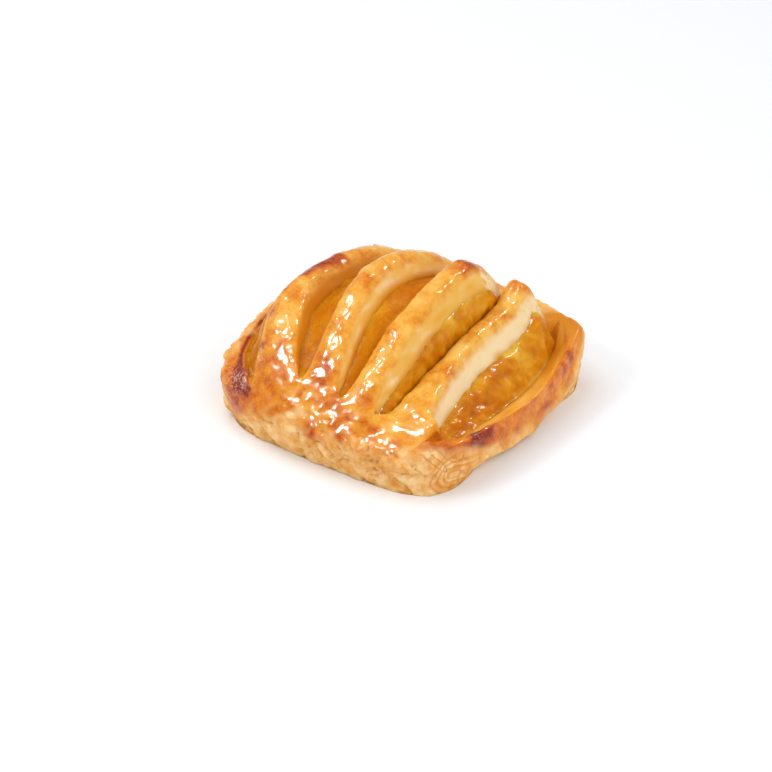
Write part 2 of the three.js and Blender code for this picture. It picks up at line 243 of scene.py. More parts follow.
# The filling: how it stands above its solid in each slit, from left to right, and its apple pieces.
FILLING_SPREAD = 1.4  # how far the filling runs in below the cut faces
FILLING_RISES = [(2.0, 2.0), (0.5, 0.5), (0.5, 0.5), (1.2, 1.2), (1.2, 0.2)]  # at a slit's two sides
FILLING_MENISCUS = 0.7  # how much higher it is along the faces
FILLING_FRONT_LIFT = 1.6  # and at the slits' front ends
FILLING_BACK_LIFTS = [1.6, 1.6, 1.6, 0.7, -0.6]  # and at each slit's back end
FILLING_END_LENGTH = 0.25
FILLING_TIP_LIFTS = [0, 2.2, 2.2, 0.3, 0]  # more right at each slit's front end
FILLING_TIP_LENGTH = 0.12
FILLING_EDGE_BUMPS = {3.0: 0.4, 1.5: 0.15}
CHUNKY_RIGHT = (2, 14)  # where the apple pieces start to the right, and are full
CHUNKY_LEFT = (18, 24)  # and to the left
CHUNKY_LEFT_SHARE = 0.6
APPLE_PITCH = 6.0
APPLE_STRETCH = np.array([1, 0.6, 0.6])
APPLE_WARP = 2.5
APPLE_WARP_PITCH = 4
APPLE_RELIEF = 1.5
SMOOTH_RELIEF = 0.4
APPLE_BUMPS = {2.4: 0.45, 1.2: 0.2}
BORDER_WIDTH = 0.14  # of the apple pieces' edges
BORDER_DEPTH = 0.12

# How pale the filling is, with its streaks and its apple pieces.
FILLING_TONE = 0.4
UNDER_CRUST_TONE = 0.12
STREAK_TONE = 0.22
STREAK_STRETCH = np.array([1, 0.4, 1])
STREAK_PITCH = 3
APPLE_TONE = 0.06
DOME_TONE = 0.5
BORDER_TONE = 0.12
SPECK_TONE = 0.3
SPECK_PITCH = 1.6
FILLING_SPOTS = [  # paler and darker places, each as x, y, radius and strength
    (1.5, -12, 5, 0.25),
    (1, -22, 5, 0.15),
    (-14, -20, 5, 0.1),
    (-14.5, 2, 8, -0.12),
    (0, 10, 8, -0.25),
    (23, 13, 5, 0.3),
    (28, 12, 3, 0.25),
    (26, 0, 4, -0.15),
    # paler in slit D: painted light against the shade that the ribs cast there
    (15.5, 4, 8, 0.25),
    (15, -15, 6, 0.2),
]

# The colours, as on screen from 0 to 255, and the materials' values. A ramp's stops are shares.
BAKED_COLOURS = [
    (0.0, (240, 188, 88)),
    (0.3, (230, 158, 46)),
    (0.55, (216, 122, 16)),
    (0.8, (182, 74, 14)),
    (1.0, (136, 42, 14)),
]
FACE_COLOURS = [
    (0.0, (216, 140, 34)),
    (0.4, (230, 166, 60)),
    (0.75, (236, 186, 96)),
    (1.0, (243, 216, 168)),
]
DOUGH_COLOURS = [
    (0.32, (222, 148, 64)),
    (0.5, (236, 180, 108)),
    (0.65, (246, 206, 148)),
]
FILLING_COLOURS = [
    (0.0, (174, 88, 4)),
    (0.4, (200, 116, 6)),
    (0.7, (216, 142, 14)),
    (1.0, (230, 176, 56)),
]
GLINT_SPECKLES = [(0.5, (0, 0, 0)), (0.62, (255, 255, 255))]  # where the painted glint speckles are white
SOAKED_COLOUR = (214, 134, 22)
# painted shade in the creases and along the fold lines
CREASE_SHADE_COLOUR = (196, 112, 40)
# the white of the glints painted as speckles on the frosted places, and how much of it shows
PAINTED_GLINT_COLOUR = (240, 200, 170)
PAINTED_GLINT_SHARE = 0.5
BROWN_GRAIN = 0.35
FACE_GRAIN = 0.1
FILLING_GRAIN = 0.25
COAT_ROUGHNESS = 0.14
CRUST_COAT = 0.45
FILLING_COAT = 0.3
CRUST_ROUGHNESS = (0.65, 0.35)  # matte, and glazed
CRUST_GRAIN = (0.06, 0.9)  # strength of the finest relief, plain and frosted

# Fineness of the meshes.
CREST_COLUMNS = 25
FACE_COLUMNS = 12
TRENCH_COLUMNS = 4
CRUST_ROWS = 230
WALL_ROWS = 36
HOLLOW_FINENESS = {"slit": 8, "rib": 4, "rows": 60}
FILLING_FINENESS = {"slit": 26, "rib": 6, "rows": 170}
MOUND_WALL_ROWS = 2
ROW_CROWDING = 0.5
SMOOTHING_SHARE = 0.5
EDGE_SMOOTHING_ROUNDS = 3
EDGE_ROUNDING_ROUNDS = 80
RIB_ROUNDING_ROUNDS = 40


def mix(low, high, share):
    return low + (high - low) * share


def smoothstep(value, low, high):
    share = np.clip((value - low) / (high - low), 0, 1)
    return share * share * (3 - 2 * share)


def bell(value, middle, spread):
    return np.exp(-(((value - middle) / spread) ** 2))


def noise_at(points, pitch, basis="PERLIN_ORIGINAL"):
    """Smooth noise at points in millimetres, with bumps about a pitch apart."""
    return np.array([noise.noise(place, noise_basis=basis) for place in (points / pitch).tolist()])


def bumps(points, heights):
    """Sum of noises of several pitches."""
    return sum(height * noise_at(points, pitch) for pitch, height in heights.items())


def warp_at(points, pitch):
    """Three noises at each point, which it can be moved by."""
    return np.stack([noise_at(points + shift, pitch) for shift in WARP_SHIFTS], axis=-1)


# The shape of the solids

def plan(s, t):
    """Plan coordinates to millimetres."""
    pull = 1 - CORNER_PULL * (s * t) ** 4
    x = HALF_X * s * np.sqrt(1 - (1 - CORNER_X ** 2) * t * t) * pull
    y = HALF_Y * t * np.sqrt(1 - (1 - CORNER_Y ** 2) * s * s) * pull
    return x, y


def slit_opening(slit, t):
    """How far a slit is open at t, as a share of its full width."""
    middle = (slit["front"] + slit["back"]) / 2
    reach = (slit["back"] - slit["front"]) / 2
    away = np.minimum(1, np.abs(t - middle) / reach)
    return (1 - away ** slit["power"]) ** LENS_BLUNTNESS


def slit_edges(slit, t):
    """Plan coordinates of a slit's two edges at t."""
    towards_tip = np.clip(t / slit["front"], 0, 1) ** slit["bend"]
    middle = mix((slit["left"] + slit["right"]) / 2, slit["tip"], towards_tip)
    half = slit_opening(slit, t) * (slit["right"] - slit["left"]) / 2
    return middle - half, middle + half


def slit_depth(slit, t):
    """1 along a slit, 0 past its ends."""
    front_fade, back_fade = slit["fades"]
    front = smoothstep(t, slit["front"], slit["front"] + front_fade)
    return front * (1 - smoothstep(t, slit["back"] - back_fade, slit["back"]))


def side_edge(s, is_back):
    """Height of the outer edge along the front or the back."""
    places = ("left", "middle", "right")
    left, middle, right = (np.where(is_back, EDGE_BACK[place], EDGE_FRONT[place]) for place in places)
    return mix(middle, np.where(s < 0, left, right), np.abs(s) ** SIDE_POWER)


def end_edge(t, is_right):
    """Height of the outer edge along the left or the right end."""
    side = "right" if is_right else "left"
    middle = EDGE_RIGHT_MIDDLE if is_right else EDGE_LEFT_MIDDLE
    return mix(middle, np.where(t < 0, EDGE_FRONT[side], EDGE_BACK[side]), t * t)


def arch(rib, s, t):
    """Height of an arch that springs from the edges at the front and the back."""
    peak = rib["peak"]
    is_back = t > peak
    away = np.where(is_back, np.minimum(1, (t - peak) / (rib["end"] - peak)), (peak - t) / (1 + peak))
    foot = side_edge(s, is_back)
    fall = np.abs(away) ** np.where(is_back, rib["back"], rib["front"])
    return foot + (rib["crest"] - foot) * (1 - fall) + rib["hump"] * bell(t, HUMP_PLACE, HUMP_SPREAD)


def band_crest(band, s, t):
    """Crest of a band: band 0 is the left end, then the ribs, then the right end."""
    if 0 < band < LAST_BAND:
        return arch(RIBS[band - 1], s, t)
    is_right = band > 0
    inner = SLITS[-1]["right"] if is_right else -SLITS[0]["left"]
    out = np.clip((np.abs(s) - inner) / (1 - inner), 0, 1)
    return mix(arch(RIGHT_END if is_right else LEFT_END, s, t), end_edge(t, is_right), out * out)


def band_middle(band, t):
    """Plan coordinate of a band's middle line, or of the outer edge for the two ends."""
    if band == 0 or band == LAST_BAND:
        return np.full_like(t, -1 if band == 0 else 1)
    return sum(sum(slit_edges(SLITS[n], t)) / 4 for n in (band - 1, band))


def crown(s, t):
    """Smooth sheet over the crests of all the bands."""
    height = band_crest(0, s, t)
    for band in range(LAST_BAND):
        low = band_middle(band, t)
        high = band_middle(band + 1, t)
        between = mix(band_crest(band, s, t), band_crest(band + 1, s, t), smoothstep(s, low, high))
        height = np.where(s >= low, between, height)
    return height


def band_top(band, s, t):
    """Top of a band, which merges with its neighbours past the ends of the slits."""
    front = 1 - smoothstep(t, SHOULDER["front"], SHOULDER["front_start"])
    back = smoothstep(t, SHOULDER["back_start"], SHOULDER["back"])
    return mix(band_crest(band, s, t), crown(s, t), np.where(t < 0, front, back))


def cut_face(band, q):
    """Run and drop of the cut face at the side q of a band."""
    if q > 0:
        return RIGHT_FACES[band]
    return RIM_SHELF if band == LAST_BAND else LEFT_FACE


def band_place(band, q, t):
    """Plan coordinate s of the place q across a band, from -1 to 1."""
    left = slit_edges(SLITS[band - 1], t)[1] if band > 0 else np.full_like(t, -1)
    right = slit_edges(SLITS[band], t)[0] if band < LAST_BAND else np.full_like(t, 1)
    return mix(left, right, (q + 1) / 2)


def top_points(band, q, depth, t):
    """Points of the top: depth is 0 on the crest, 1 at the foot of a cut face, 2 in the trench."""
    s = band_place(band, q, t)
    x, y = plan(s, t)
    z = band_top(band, s, t)
    number = band - 1 if q < 0 else band
    if 0 <= number < len(SLITS):
        slit = SLITS[number]
        open_share = slit_depth(slit, t)
        z = z - mix(SHOULDER_ROUNDING, RIB_ROUNDING, open_share) * abs(q) ** 3
        face_run, face_drop = cut_face(band, q) if depth > 0 else (0, 0)
        run = face_run * min(depth, 1) + TRENCH_RUN * max(depth - 1, 0)
        drop = face_drop * min(depth, 1) + (TRENCH_DROP - face_drop) * max(depth - 1, 0)
        x = x + math.copysign(run, q) * slit_opening(slit, t)
        z = np.maximum(np.minimum(z, TRENCH_LOWEST), z - drop * open_share)
    return np.stack([x, y, z], axis=-1)


def wall_points(edge, down):
    """Points of the wall, a share down of the way from the edge to the foot."""
    out = edge / np.array([HALF_X ** 2, HALF_Y ** 2, np.inf])
    out /= np.linalg.norm(out, axis=1, keepdims=True)
    facing = {"front": -out[:, 1:2], "left": -out[:, :1], "right": out[:, :1]}
    tuck = sum(BASE_TUCK[side] * smoothstep(facing[side], *TUCK_FACING[side]) for side in BASE_TUCK)
    bulge = WALL_BULGE * np.minimum(1, edge[:, 2:] / BULGE_FULL_Z) * math.sin(math.pi * down ** BULGE_SKEW)
    return edge * np.array([1, 1, 1 - down]) + out * (bulge - tuck * down ** 3)


# Meshes from grids

def loaf(grid, ids, wall, wall_rows):
    """A closed mesh from a grid of top points: the grid, a wall from its edge down, and a flat foot.
    Gives its points, its triangles, and how far down the wall each point lies."""
    points = [grid.reshape(-1, 3)]
    corners = [ids[:-1, :-1], ids[1:, :-1], ids[1:, 1:], ids[:-1, 1:]]
    quads = [np.stack(corners, axis=-1).reshape(-1, 4)]
    ring = np.concatenate([ids[:-1, 0], ids[-1, :-1], ids[:0:-1, -1], ids[0, :0:-1]])
    ring = ring[ring != np.roll(ring, 1)]
    edge = points[0][ring]
    down = [np.zeros(len(points[0]))]
    upper = ring
    for row in range(1, wall_rows + 1):
        lower = sum(map(len, points)) + np.arange(len(ring))
        points.append(wall(edge, row / wall_rows))
        down.append(np.full(len(ring), row / wall_rows))
        quads.append(np.stack([lower, np.roll(lower, -1), np.roll(upper, -1), upper], axis=-1))
        upper = lower
    foot = sum(map(len, points))
    points.append(np.array([[0, 0, points[-1][0, 2]]]))
    down.append([1])
    quads = np.concatenate(quads)
    fan = np.stack([upper, np.full(len(ring), foot), np.roll(upper, -1)], axis=-1)
    triangles = np.concatenate([quads[:, [0, 1, 2]], quads[:, [0, 2, 3]], fan])
    a, b, c = triangles.T
    triangles = triangles[(a != b) & (b != c) & (c != a)]
    return np.concatenate(points), triangles, np.concatenate(down)


def normals_of(points, triangles):
    a, b, c = (points[triangles[:, k]] for k in range(3))
    facing = np.cross(b - a, c - a)
    normals = np.zeros_like(points)
    for k in range(3):
        np.add.at(normals, triangles[:, k], facing)
    return normals / np.maximum(np.linalg.norm(normals, axis=1, keepdims=True), 1e-9)


def smoothed(points, triangles, rounds, weights=1):
    """Points moved towards the middle of their neighbours, except on the ground."""
    edges = np.concatenate([triangles[:, [0, 1]], triangles[:, [1, 2]], triangles[:, [2, 0]]])
    count = np.bincount(edges[:, 0], minlength=len(points))[:, None]
    share = np.where(points[:, 2] > 0, SMOOTHING_SHARE * weights, 0)[:, None]
    for _ in range(rounds):
        ends = points[edges[:, 1]]
        total = np.stack([np.bincount(edges[:, 0], ends[:, k], len(points)) for k in range(3)], axis=-1)
        points = mix(points, total / np.maximum(count, 1), share)
    return points


def mesh_object(name, points, triangles):
    mesh = bpy.data.meshes.new(name)
    mesh.from_pydata(((points + PLAN_MIDDLE) * MM).tolist(), [], triangles.tolist())
    mesh.shade_smooth()
    piece = bpy.data.objects.new(name, mesh)
    bpy.context.scene.collection.objects.link(piece)
    return piece


def paint(piece, **layers):
    """Stores a value for each point, for the materials."""
    for name, values in layers.items():
        layer = piece.data.attributes.new(name, "FLOAT", "POINT")
        layer.data.foreach_set("value", np.ascontiguousarray(values, np.float32))


def row_places(count):
    """Places along the ribs, closer together towards their feet."""
    even = np.linspace(-1, 1, count + 1)
    return mix(even, np.sin(even * math.pi / 2), ROW_CROWDING)


# The crust

def crust_columns():
    """Columns across the top, each as band, q and depth."""
    crest = np.sin(np.linspace(-1, 1, CREST_COLUMNS) * math.pi / 2)
    face = np.linspace(0, 1, FACE_COLUMNS + 1)[1:]
    trench = np.linspace(1, 2, TRENCH_COLUMNS + 1)[1:]
    depths = np.concatenate([face, trench])
    columns = []
    for band in range(LAST_BAND + 1):
        if band > 0:
            columns += [(band, -1, depth) for depth in depths[::-1]]
        columns += [(band, q, 0) for q in crest]
        if band < LAST_BAND:
            columns += [(band, 1, depth) for depth in depths]
    return columns


def crust_shape():
    """The outside of the crust, before its relief, and where each of its points lies."""
    columns = crust_columns()
    places = row_places(CRUST_ROWS)
    grid = np.stack([top_points(*column, places) for column in columns])
    ids = np.arange(grid[..., 0].size).reshape(grid.shape[:2])
    side_columns = FACE_COLUMNS + TRENCH_COLUMNS
    for number, slit in enumerate(SLITS):
        closed = slit_opening(slit, places) <= 0
        left = (number + 1) * CREST_COLUMNS - 1 + 2 * side_columns * number
        ids[left + 1:left + 2 * side_columns + 2, closed] = ids[left, closed]
    points, triangles, down = loaf(grid, ids, wall_points, WALL_ROWS)

    def extend(values):
        return np.concatenate([values, np.zeros(len(points) - ids.size)])

    band, q, depth = (np.repeat(values, len(places)) for values in np.array(columns).T)
    layout = {
        "band": extend(band),
        "q": extend(q),
        "depth": extend(depth),
        "s": extend(np.concatenate([band_place(*column[:2], places) for column in columns])),
        "t": extend(np.tile(places, len(columns))),
        "down": down,
        "top": extend(np.ones(ids.size)),
    }
    used, triangles = np.unique(triangles, return_inverse=True)
    return points[used], triangles.reshape(-1, 3), {key: values[used] for key, values in layout.items()}


def spots(points, listed):
    """Sum of soft spots, each given as band, q, t, radius and strength."""
    total = np.zeros(len(points))
    for band, q, t, radius, strength in listed:
        middle = top_points(band, q, 0, np.array([t]))[0]
        total += strength * bell(np.linalg.norm(points - middle, axis=1), 0, radius)
    return total


def wall_puffs(points):
    """Slanting puffs of the wall's dough: their height, and where the creases between them are."""
    x, y, z = points.T
    slanted = np.column_stack([x, y, PUFF_FLATTENING * z + PUFF_SLANT * (x + y)])
    height = np.zeros(len(points))
    crease = np.zeros(len(points))
    for pitch, size in WALL_PUFFS.items():
        puff = np.abs(noise_at(slanted, pitch))
        height += size * (puff - PUFF_MEAN)
        size_share = size / max(WALL_PUFFS.values())
        crease = np.maximum(crease, size_share * (1 - smoothstep(puff, 0, CREASE_WIDTH)))
    height *= 1 - RIGHT_SMOOTHNESS * right_share(points)
    patches = smoothstep(noise_at(points, CREASE_PATCH_PITCH), -CREASE_PATCH_FADE, CREASE_PATCH_FADE)
    return height, crease * patches


def fold_lines(points):
    """The edges of the folded layers at the front right corner, where they show."""
    axis = FOLD_END - FOLD_START
    share = np.clip((points - FOLD_START) @ axis / (axis @ axis), 0, 1)
    away = np.linalg.norm(points - FOLD_START - share[:, None] * axis, axis=1)
    shown = 1 - smoothstep(away, FOLD_REACH - FOLD_FADE, FOLD_REACH)
    shown *= smoothstep(points[:, 0], *FOLD_FROM_X)
    shown *= (points[:, 1] < 0) * (1 - smoothstep(share, *FOLD_ALONG))
    turns = away / FOLD_PITCH + bumps(points, FOLD_WOBBLE)
    ridge = (1 - np.cos(2 * math.pi * turns)) / 2
    return shown * ridge ** 2


def wall_fall(points, layout):
    """How far below the edge each point of the wall lies, in millimetres."""
    down = layout["down"]
    return np.where(layout["top"] > 0, 0, points[:, 2] * down / np.maximum(1 - down, FOOT_SHARE))


def edge_distance(layout):
    """How far inside the edge of the front, the back and the left end each point of the top lies."""
    return np.minimum((1 - np.abs(layout["t"])) * HALF_Y, (1 + layout["s"]) * HALF_X + LEFT_GLAZE)


def right_share(points):
    """1 at the right end, 0 far from it."""
    start, full = RIGHT_PART
    return smoothstep(points[:, 0], start * HALF_X, full * HALF_X)


def edge_nearness(points, layout):
    """1 at the edge of the front, the back and the left end, 0 far from it."""
    away = np.where(layout["top"] > 0, edge_distance(layout), wall_fall(points, layout))
    return (1 - smoothstep(away, 0, EDGE_ROUNDING)) * (1 - right_share(points))


def slit_share(layout):
    """1 beside an open slit, 0 past its ends."""
    share = np.zeros(len(layout["t"]))
    for number, slit in enumerate(SLITS):
        beside = np.where(layout["q"] < 0, layout["band"] - 1, layout["band"]) == number
        share = np.where(beside, slit_depth(slit, layout["t"]), share)
    return share * layout["top"]


def rib_edge_nearness(layout):
    """1 where a crest turns to a cut face, 0 far from it."""
    beside = smoothstep(np.abs(layout["q"]), *RIB_EDGE_ACROSS)
    beside *= 1 - smoothstep(layout["depth"], *RIB_EDGE_DOWN)
    return beside * slit_share(layout)


def glaze_border(points):
    """How far below the edge the glaze ends, in millimetres."""
    right = right_share(points)
    rim_reach = mix(*RIM_REACH, smoothstep(points[:, 1] / HALF_Y, *RIM_CHANGE))
    from_corner = np.linalg.norm(points - GLAZED_CORNER["middle"], axis=1)
    border = (1 - RIGHT_SMOOTHNESS * right) * bumps(points, GLAZE_BORDER)
    border += mix(GLAZE_REACH, rim_reach, right)
    return border + GLAZED_CORNER["reach"] * bell(from_corner, 0, GLAZED_CORNER["radius"])


def soaked_share(points, layout, torn_place):
    """Where the filling has soaked the cut faces."""
    top, depth, band, q, t = (layout[key] for key in ("top", "depth", "band", "q", "t"))
    start = np.array(SOAK_STARTS)[band.astype(int)]
    soaked = smoothstep(depth + bumps(points, SOAK_BUMPS), start, start + SOAK_FADE) * (1 - torn_place)
    for number, place in SOAKED_FROM.items():
        far = (band == number) * smoothstep(t, place, place + SOAKED_FADES["along"])
        far *= smoothstep(depth, 0, SOAKED_FADES["down"])
        soaked = np.maximum(soaked, far * (q > 0 if number < LAST_BAND else 1))
    left_end = (band == 0) * smoothstep(q, *SOAKED_LEFT["across"]) * smoothstep(t, *SOAKED_LEFT["along"])
    return top * np.maximum.reduce([soaked, left_end, np.minimum(1, spots(points, SOAKED_SPOTS))])


def crust_layers(points, layout):
    """What each point of the crust is, as shares from 0 to 1."""
    top, depth, band, q, t = (layout[key] for key in ("top", "depth", "band", "q", "t"))
    torn_place = np.zeros(len(points))
    for rib, (place, spread) in TORN_ENDS.items():
        torn_place += (band == rib) * (q > 0) * bell(t, place, spread)
    soaked = soaked_share(points, layout, torn_place)
    across = depth - FACE_EDGE_SLOPE * (1 - np.abs(q)) + bumps(points, FACE_EDGE_BUMPS)
    across += np.array(FACE_CLIMBS)[band.astype(int)]
    face = np.maximum(slit_share(layout) * smoothstep(across, -FACE_FADE, FACE_FADE), soaked)
    top_fall = mix(-edge_distance(layout), end_edge(t, True) - points[:, 2], right_share(points))
    fall = np.where(top > 0, top_fall, wall_fall(points, layout))
    border = glaze_border(points)
    wall = smoothstep(fall, border - GLAZE_FADE, border + GLAZE_FADE)
    return {
        "face": face,
        "soaked": soaked,
        "wall": wall,
        "crest": np.clip(1 - face - wall, 0, 1),
        "torn": face * torn_place * (depth < TORN_DOWN),
        "folds": wall * fold_lines(points),
    }


def crust_relief(points, layers, puffs):
    """How far each point moves along its normal."""
    relief = layers["crest"] * bumps(points, CREST_BUMPS)
    relief += layers["face"] * bumps(points, FACE_BUMPS)
    relief += layers["torn"] * bumps(points, TORN_BUMPS)
    relief += layers["wall"] * (bumps(points, WALL_BUMPS) + puffs - GLAZE_STEP)
    relief -= CREASE_DEPTH * layers["crease"] + FOLD_DEPTH * layers["folds"]
    return relief


def crust_browning(points, layout):
    """How brown the crest is, from 0 to 1."""
    top, band, q, t = (layout[key] for key in ("top", "band", "q", "t"))
    tone = BROWNING_MEAN + bumps(points, BROWNING_BUMPS) * mix(1, RIM_CONTRAST, right_share(points))
    tone += spots(points + SPOT_WARP * warp_at(points, SPOT_WARP_PITCH), BROWN_SPOTS)
    tone += np.array(BAND_BROWNING)[band.astype(int)] * top
    stripe = (band == 0) * top * bell(q, *STRIPE["across"])
    stripe *= 1 - smoothstep(t + bumps(points, STRIPE_WANDER), *STRIPE["fades"])
    tone += STRIPE["strength"] * stripe
    tone += FRONT_BROWNING * (1 - smoothstep(t, *FRONT_FADE) * top)
    return tone


def face_paleness(points, layout, torn):
    """How pale the cut faces are, from 0 to 1, with mottling painted in as highlights at the torn ends."""
    paleness = np.array(FACE_PALENESS)[layout["band"].astype(int)] + bumps(points, PALENESS_BUMPS)
    paleness += FIBRE_CONTRAST * noise_at(points * FIBRE_STRETCH, FIBRE_PITCH)
    return paleness + torn * (TORN_PALENESS_AND_SHEEN + TORN_GLINT_CONTRAST * noise_at(points, TORN_PITCH))


def crust_piece():
    points, triangles, layout = crust_shape()
    points = smoothed(points, triangles, EDGE_SMOOTHING_ROUNDS)
    points = smoothed(points, triangles, EDGE_ROUNDING_ROUNDS, edge_nearness(points, layout))
    points = smoothed(points, triangles, RIB_ROUNDING_ROUNDS, rib_edge_nearness(layout))
    layers = crust_layers(points, layout)
    puffs, creases = wall_puffs(points)
    layers["crease"] = layers["wall"] * creases
    relief = crust_relief(points, layers, puffs)
    moved = points + relief[:, None] * normals_of(points, triangles)
    moved[:, 2] = np.where(points[:, 2] > 0, np.maximum(moved[:, 2], 0), 0)
    piece = mesh_object("pastry_crust", moved, triangles)
    paint(
        piece,
        browning=crust_browning(points, layout),
        cut_face=layers["face"],
        soaked=layers["soaked"],
        frost=spots(points, FROST_AND_GLINT_SPOTS),
        paleness=face_paleness(points, layout, layers["torn"]),
        wall=layers["wall"],
        # painted shade in the creases and along the fold lines
        crease=np.maximum(CREASE_SHADE_DARKNESS * layers["crease"], FOLD_SHADE_DARKNESS * layers["folds"]),
        gloss=layers["crest"] + FACE_GLOSS * layers["face"] * (1 - layers["torn"]),
    )
    cut(piece, mesh_object("hollow", *mound(0, HOLLOW_FINENESS)[:2]))
    return piece


def cut(piece, cutter):
    """Takes the cutter's form out of a piece, and removes the cutter."""
    modifier = piece.modifiers.new("cut", "BOOLEAN")
    modifier.object = cutter
    modifier.operation = "DIFFERENCE"
    modifier.solver = "MANIFOLD"
    with bpy.context.temp_override(object=piece):
        bpy.ops.object.modifier_apply(modifier=modifier.name)
    bpy.data.objects.remove(cutter)


# The filling

def mound(inset, fineness, spread=0, lift=None):
    """The filling's mound, smaller by inset all round, and wider by spread and higher by lift in the
    slits. Gives points, triangles and how far each point lies in the open, from 0 under the crust
    to 1 in the middle of a slit."""
    reach_x = 1 - (WALL_THICKNESS + inset) / HALF_X
    reach_y = 1 - (WALL_THICKNESS + inset) / HALF_Y
    floor = FLOOR_THICKNESS + inset
    rows = row_places(fineness["rows"]) * reach_y

    def column(s, height):
        x, y = plan(s, rows)
        return np.stack([x, y, np.maximum(height - inset, floor + FILLING_LEAST)], axis=-1)

    def below_face(band, q, s):
        return band_top(band, s, rows) - RIB_ROUNDING - cut_face(band, q)[1] - FACE_ROOF

    def to_floor(edge, down):
        return np.column_stack([edge[:, :2], mix(edge[:, 2], floor, down)])

    end_s = np.full_like(rows, -reach_x)
    grid = [column(end_s, band_top(0, end_s, rows) - END_ROOF)]
    openness = [np.zeros_like(rows)]
    for number, slit in enumerate(SLITS):
        run = slit_opening(slit, rows) / HALF_X
        left, right = slit_edges(slit, rows)
        left = left + cut_face(number, 1)[0] * run
        right = right - cut_face(number + 1, -1)[0] * run
        gap_half = np.maximum((right - left) / 2, STEP_HALF)
        half = gap_half + spread / HALF_X
        for share in np.linspace(0, 1, fineness["slit"]):
            away = mix(-half, half, share)
            s = (left + right) / 2 + away
            blend = smoothstep(away, -gap_half, gap_half)
            heights = mix(below_face(number, 1, s), below_face(number + 1, -1, s), blend)
            if lift:
                heights = heights + lift(number, share, rows)
            if share == 0:
                foot = column(s, heights)
                steps = np.linspace(0, 1, fineness["rib"] + 2)[1:-1]
                grid += [mix(grid[-1], foot, step) for step in steps]
                openness += [np.zeros_like(rows)] * len(steps)
            grid.append(column(s, heights))
            inwards = np.cos(np.clip(away / gap_half, -1, 1) * math.pi / 2)
            openness.append(slit_depth(slit, rows) * inwards)
    end = column(-end_s, band_top(LAST_BAND, -end_s, rows) - END_ROOF)
    steps = np.linspace(0, 1, fineness["rib"] + 2)[1:]
    grid += [mix(grid[-1], end, step) for step in steps]
    openness += [np.zeros_like(rows)] * len(steps)
    grid = np.stack(grid)
    ids = np.arange(grid[..., 0].size).reshape(grid.shape[:2])
    points, triangles, _ = loaf(grid, ids, to_floor, MOUND_WALL_ROWS)
    openness = np.concatenate([np.concatenate(openness), np.zeros(len(points) - ids.size)])
    return points, triangles, openness


def filling_lift(number, share, t):
    """How far the filling stands above its solid: more along the cut faces and at the slit's ends."""
    slit = SLITS[number]
    ends = FILLING_FRONT_LIFT * (1 - smoothstep(t - slit["front"], 0, FILLING_END_LENGTH))
    ends += FILLING_BACK_LIFTS[number] * (1 - smoothstep(slit["back"] - t, 0, FILLING_END_LENGTH))
    tip = slit["front"] + FILLING_TIP_LENGTH
    ends += FILLING_TIP_LIFTS[number] * (1 - smoothstep(t, slit["front"], tip))
    lift = mix(*FILLING_RISES[number], share) + FILLING_MENISCUS * (2 * share - 1) ** 2 + ends
    return lift * slit_depth(slit, t) if number == 0 else lift


def apple_pieces(points):
    """How far each point stands out on an apple piece, and how near it is to that piece's edge."""
    warped = (points + APPLE_WARP * warp_at(points, APPLE_WARP_PITCH)) * APPLE_STRETCH
    domes = (1 - noise_at(warped, APPLE_PITCH, "VORONOI_F1")) / 2
    border = (noise_at(warped, APPLE_PITCH, "VORONOI_F2F1") + 1) / 2
    return domes, 1 - smoothstep(border, 0, BORDER_WIDTH)


def filling_piece():
    points, triangles, openness = mound(FILLING_GAP, FILLING_FINENESS, FILLING_SPREAD, filling_lift)
    domes, borders = apple_pieces(points)
    chunky_left = CHUNKY_LEFT_SHARE * smoothstep(-points[:, 0], *CHUNKY_LEFT)
    chunky = np.maximum(smoothstep(points[:, 0], *CHUNKY_RIGHT), chunky_left)
    relief = domes - BORDER_DEPTH * borders + bumps(points, APPLE_BUMPS)
    relief = openness * mix(SMOOTH_RELIEF, APPLE_RELIEF, chunky) * relief
    relief += (openness > 0) * (1 - openness) * bumps(points, FILLING_EDGE_BUMPS)
    points += relief[:, None] * normals_of(points, triangles)
    tone = FILLING_TONE + UNDER_CRUST_TONE * (1 - openness) ** 2
    tone += STREAK_TONE * noise_at(points * STREAK_STRETCH, STREAK_PITCH)
    apple = APPLE_TONE + DOME_TONE * (domes - 0.5) + BORDER_TONE * borders
    tone += chunky * (apple + SPECK_TONE * noise_at(points, SPECK_PITCH))
    for x, y, radius, strength in FILLING_SPOTS:
        tone += strength * bell(np.hypot(points[:, 0] - x, points[:, 1] - y), 0, radius)
    piece = mesh_object("filling", points, triangles)
    paint(piece, apple=tone, wet=chunky)
    return piece


# Materials

def linear(red, green, blue):
    """A colour given as on screen, from 0 to 255."""
    share = np.array([red, green, blue]) / 255
    return (*np.where(share <= 0.04045, share / 12.92, ((share + 0.055) / 1.055) ** 2.4), 1)


